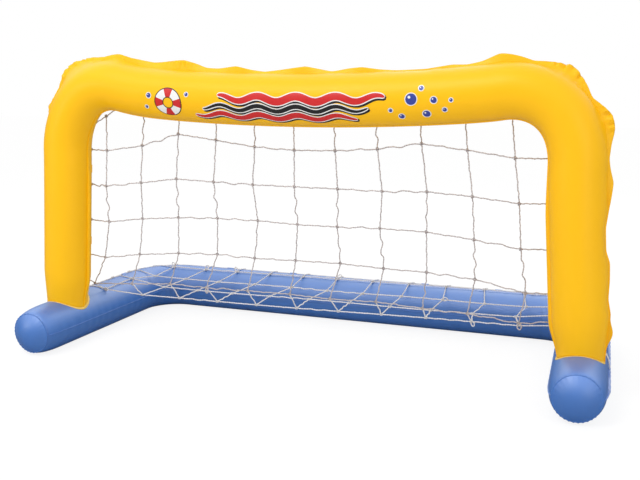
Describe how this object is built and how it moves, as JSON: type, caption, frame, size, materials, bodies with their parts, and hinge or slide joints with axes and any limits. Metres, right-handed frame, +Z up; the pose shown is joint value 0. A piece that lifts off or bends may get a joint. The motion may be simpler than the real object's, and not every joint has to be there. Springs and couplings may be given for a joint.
{
  "type": "inflatable pool goal",
  "caption": "Inflatable water polo goal: an arch tube welded on a U-shaped base tube, with a knotted net laced behind them and plug valves.",
  "frame": {"origin": "on the floor under the middle of the goal's length and depth", "axes": "X along the crossbar to the goal's right as seen from its mouth, Y from the mouth to the rear bar, Z up"},
  "size_m": [1.4232, 0.6592, 0.7308],
  "materials": {
    "yellow_vinyl": "glossy soft vinyl film, printed on the arch's front",
    "blue_vinyl": "glossy soft vinyl film",
    "net_cord": "twisted synthetic twine",
    "clear_vinyl": "milky clear moulded vinyl"
  },
  "bodies": {
    "root": {"arch_front_panel": "yellow_vinyl", "arch_back_panel": "yellow_vinyl", "left_foot_patch": "yellow_vinyl", "right_foot_patch": "yellow_vinyl", "arch_rope_patch_1": "yellow_vinyl", "arch_rope_patch_2": "yellow_vinyl", "arch_rope_patch_3": "yellow_vinyl", "arch_rope_patch_4": "yellow_vinyl", "arch_rope_patch_5": "yellow_vinyl", "arch_rope_patch_6": "yellow_vinyl", "arch_rope_patch_7": "yellow_vinyl", "arch_rope_patch_8": "yellow_vinyl", "base_upper_panel": "blue_vinyl", "base_lower_panel": "blue_vinyl", "left_end_cap": "blue_vinyl", "right_end_cap": "blue_vinyl", "base_rope_patch_1": "blue_vinyl", "base_rope_patch_2": "blue_vinyl", "base_rope_patch_3": "blue_vinyl", "base_rope_patch_4": "blue_vinyl", "base_rope_patch_5": "blue_vinyl", "base_rope_patch_6": "blue_vinyl", "base_rope_patch_7": "blue_vinyl", "base_rope_patch_8": "blue_vinyl", "border_rope": "net_cord", "net_back": "net_cord", "net_floor": "net_cord", "arch_valve_body": "clear_vinyl", "base_valve_body": "clear_vinyl"},
    "arch_valve_stopper": {"arch_valve_stopper": "clear_vinyl"},
    "arch_valve_flap": {"arch_valve_flap": "clear_vinyl"},
    "base_valve_stopper": {"base_valve_stopper": "clear_vinyl"},
    "base_valve_flap": {"base_valve_flap": "clear_vinyl"}
  },
  "joints": [
    {"name": "arch_stopper_hinge", "type": "hinge", "parent": "root", "child": "arch_valve_stopper", "pos_m": [0.63021, -0.09547, 0.31551], "axis": [-0.9976, 0, -0.0696], "range_deg": [0, 150]},
    {"name": "arch_flap_hinge", "type": "hinge", "parent": "root", "child": "arch_valve_flap", "pos_m": [0.62959, -0.11217, 0.32429], "axis": [0.9976, 0, 0.0696], "range_deg": [0, 40]},
    {"name": "base_stopper_hinge", "type": "hinge", "parent": "root", "child": "base_valve_stopper", "pos_m": [-0.69878, -0.05597, 0.08976], "axis": [0.4812, -0.0226, 0.8763], "range_deg": [0, 150]},
    {"name": "base_flap_hinge", "type": "hinge", "parent": "root", "child": "base_valve_flap", "pos_m": [-0.68375, -0.04786, 0.08171], "axis": [-0.4812, 0.0226, -0.8763], "range_deg": [0, 40]}
  ]
}
